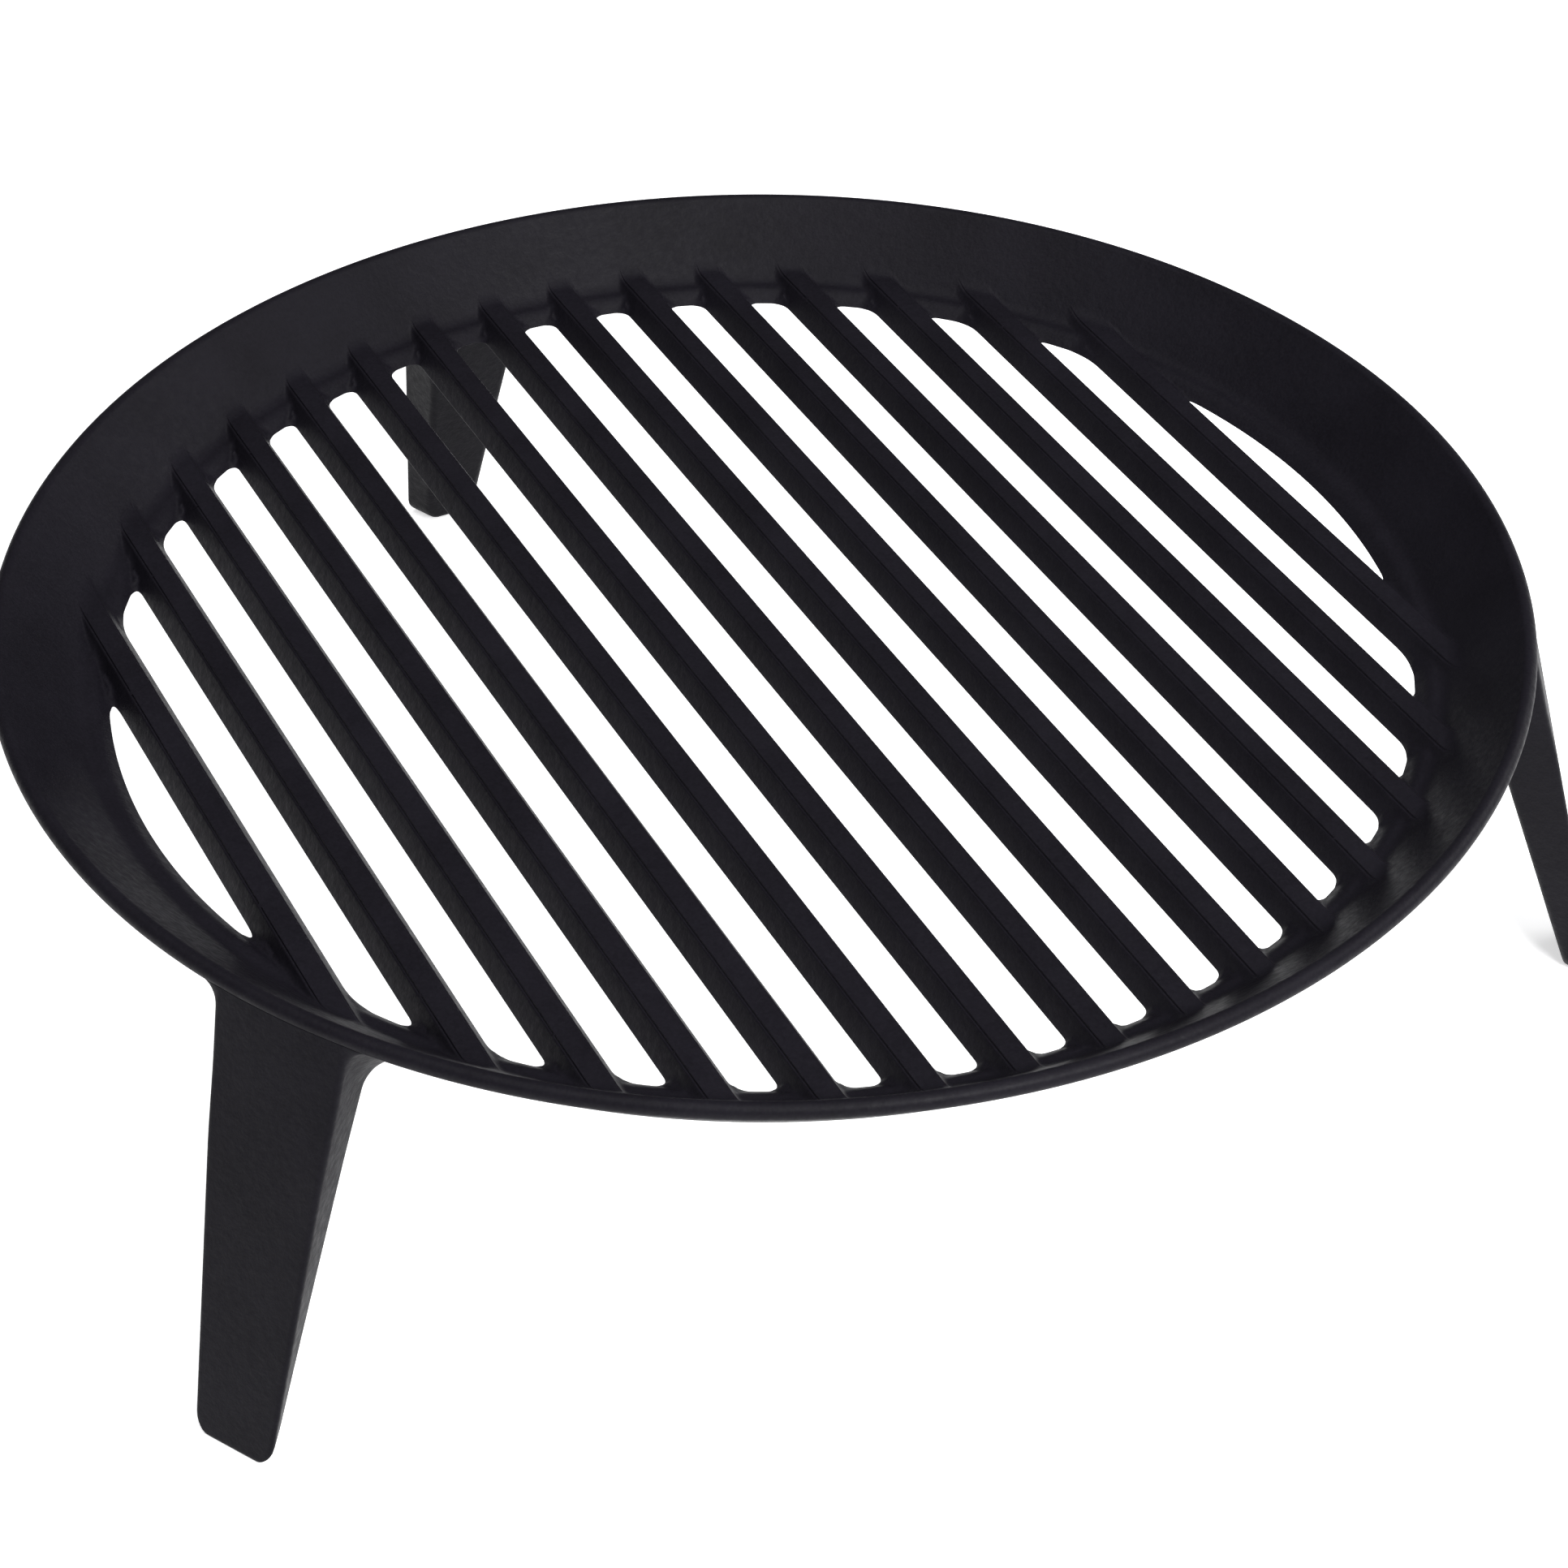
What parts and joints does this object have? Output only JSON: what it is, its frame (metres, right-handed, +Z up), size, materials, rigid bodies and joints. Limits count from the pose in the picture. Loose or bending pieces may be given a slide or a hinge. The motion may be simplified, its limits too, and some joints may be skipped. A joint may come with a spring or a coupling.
{
  "type": "footed fire grate",
  "caption": "Round cast-iron fire grate with a dished rim, parallel bars and splayed tapered legs, to carry burning coal clear of the hearth.",
  "frame": {"origin": "on the floor, at the middle of the bounding box; the rim's axis is 14.45 mm along +X from it", "axes": "+Z up, +X along the bars and away from the back leg, +Y across the bars"},
  "size_m": [0.389, 0.368, 0.1073],
  "materials": {
    "rim_iron": "satin black coating over fine sand-cast grain",
    "bar_iron": "satin black coating over fine sand-cast grain, tops a little smoother",
    "leg_iron": "satin black coating over fine sand-cast grain"
  },
  "bodies": {
    "root": {"dished_rim": "rim_iron", "bar_01": "bar_iron", "bar_02": "bar_iron", "bar_03": "bar_iron", "bar_04": "bar_iron", "bar_05": "bar_iron", "bar_06": "bar_iron", "bar_07": "bar_iron", "bar_08": "bar_iron", "bar_09": "bar_iron", "bar_10": "bar_iron", "bar_11": "bar_iron", "bar_12": "bar_iron", "bar_13": "bar_iron", "bar_14": "bar_iron", "bar_15": "bar_iron", "leg_back": "leg_iron", "leg_left": "leg_iron", "leg_right": "leg_iron"}
  },
  "joints": []
}
